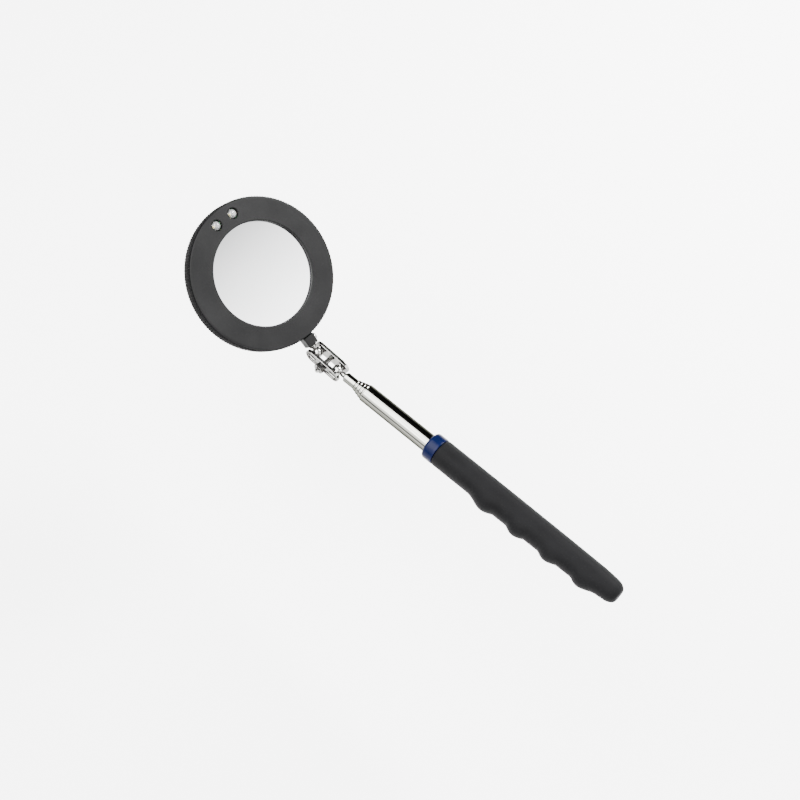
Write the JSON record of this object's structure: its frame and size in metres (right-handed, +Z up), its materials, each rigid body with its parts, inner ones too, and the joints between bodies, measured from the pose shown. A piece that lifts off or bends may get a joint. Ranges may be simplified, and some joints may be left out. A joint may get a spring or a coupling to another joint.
{
  "type": "telescoping inspection mirror",
  "caption": "Round lighted mirror on a double-ball joint at the end of a telescoping chrome tube, with a cushioned grip.",
  "frame": {"origin": "bottom centre of the box, on the surface that the mirror lies on", "axes": "+X along the handle towards its butt, +Z up out of the surface, +Y to the far side; the mirror face looks up and towards +X"},
  "size_m": [0.2828, 0.0826, 0.0652],
  "materials": {
    "chrome": "polished",
    "nickel": "bright nickel",
    "brass": "satin",
    "black_plastic": "satin",
    "soft_black": "satin",
    "switch_black": "satin",
    "blue_plastic": "gloss",
    "silvered_glass": "mirror",
    "clear_resin": "clear",
    "grey_foam": "matte",
    "green_board": "satin"
  },
  "bodies": {
    "handle": {"outer_tube": "chrome", "tube_plug": "black_plastic", "grip_collar": "blue_plastic", "cushion_grip": "soft_black"},
    "section_2": {"tube_section_2": "chrome", "guide_bush_2": "brass"},
    "section_3": {"tube_section_3": "chrome", "guide_bush_3": "brass"},
    "section_4": {"tube_section_4": "chrome", "guide_bush_4": "brass"},
    "rod": {"tube_rod": "chrome", "guide_bush_5": "brass"},
    "rod_swivel": {"rod_stem": "nickel"},
    "lower_ball": {"rod_ball": "nickel"},
    "clamp": {"clamp_plate_far": "nickel", "clamp_plate_near": "nickel", "tension_screw": "nickel", "spring_washer": "nickel"},
    "nut": {"tension_nut": "nickel"},
    "upper_ball": {"head_ball": "nickel"},
    "stem": {"head_stem": "nickel"},
    "head": {"back_shell": "black_plastic", "bezel_ring": "black_plastic", "mirror_glass": "silvered_glass", "mirror_pad": "grey_foam", "light_left": "clear_resin", "light_right": "clear_resin", "light_board": "green_board", "battery_upper": "nickel", "battery_lower": "nickel", "top_contact": "brass", "side_contact": "brass", "link_strip": "brass", "switch_body": "black_plastic", "case_screw_1": "nickel", "case_screw_2": "nickel", "case_screw_3": "nickel", "case_screw_4": "nickel", "neck_screw": "nickel"},
    "door": {"battery_door": "black_plastic"},
    "knob": {"switch_knob": "switch_black"}
  },
  "joints": [
    {"name": "section_2_slide", "type": "slide", "parent": "handle", "child": "section_2", "axis": [-0.9991, 0, -0.0434], "range_m": [0, 0.145]},
    {"name": "section_3_slide", "type": "slide", "parent": "section_2", "child": "section_3", "axis": [-0.9991, 0, -0.0434], "range_m": [0, 0.141]},
    {"name": "section_4_slide", "type": "slide", "parent": "section_3", "child": "section_4", "axis": [-0.9991, 0, -0.0434], "range_m": [0, 0.137]},
    {"name": "rod_slide", "type": "slide", "parent": "section_4", "child": "rod", "axis": [-0.9991, 0, -0.0434], "range_m": [0, 0.133]},
    {"name": "joint_spin", "type": "hinge", "parent": "rod", "child": "rod_swivel", "pos_m": [-0.04936, 0, 0.00434], "axis": [0.9991, 0, 0.0434], "continuous": true},
    {"name": "lower_tilt", "type": "hinge", "parent": "rod_swivel", "child": "lower_ball", "pos_m": [-0.04936, 0, 0.00434], "axis": [-0.0434, 0, 0.9991], "range_deg": [-12, 12]},
    {"name": "lower_swing", "type": "hinge", "parent": "lower_ball", "child": "clamp", "pos_m": [-0.04936, 0, 0.00434], "axis": [0, 1, 0], "range_deg": [-90, 80]},
    {"name": "upper_swing", "type": "hinge", "parent": "clamp", "child": "upper_ball", "pos_m": [-0.06464, 0, 0.00528], "axis": [0, -1, 0], "range_deg": [-50, 120]},
    {"name": "upper_tilt", "type": "hinge", "parent": "upper_ball", "child": "stem", "pos_m": [-0.06464, 0, 0.00528], "axis": [0.6089, 0, 0.7932], "range_deg": [-8, 8]},
    {"name": "head_spin", "type": "hinge", "parent": "stem", "child": "head", "pos_m": [-0.06464, 0, 0.00528], "axis": [0.7932, 0, -0.6089], "continuous": true},
    {"name": "nut_turn", "type": "hinge", "parent": "clamp", "child": "nut", "pos_m": [-0.057, 0, 0.00481], "axis": [0, 1, 0], "range_deg": [0, 180]},
    {"name": "door_turn", "type": "hinge", "parent": "head", "child": "door", "pos_m": [-0.1085, 0, 0.03895], "axis": [0.6089, 0, 0.7932], "range_deg": [-85, 0]},
    {"name": "switch_slide", "type": "slide", "parent": "head", "child": "knob", "axis": [0, 1, 0], "range_m": [0, 0.0025]}
  ]
}
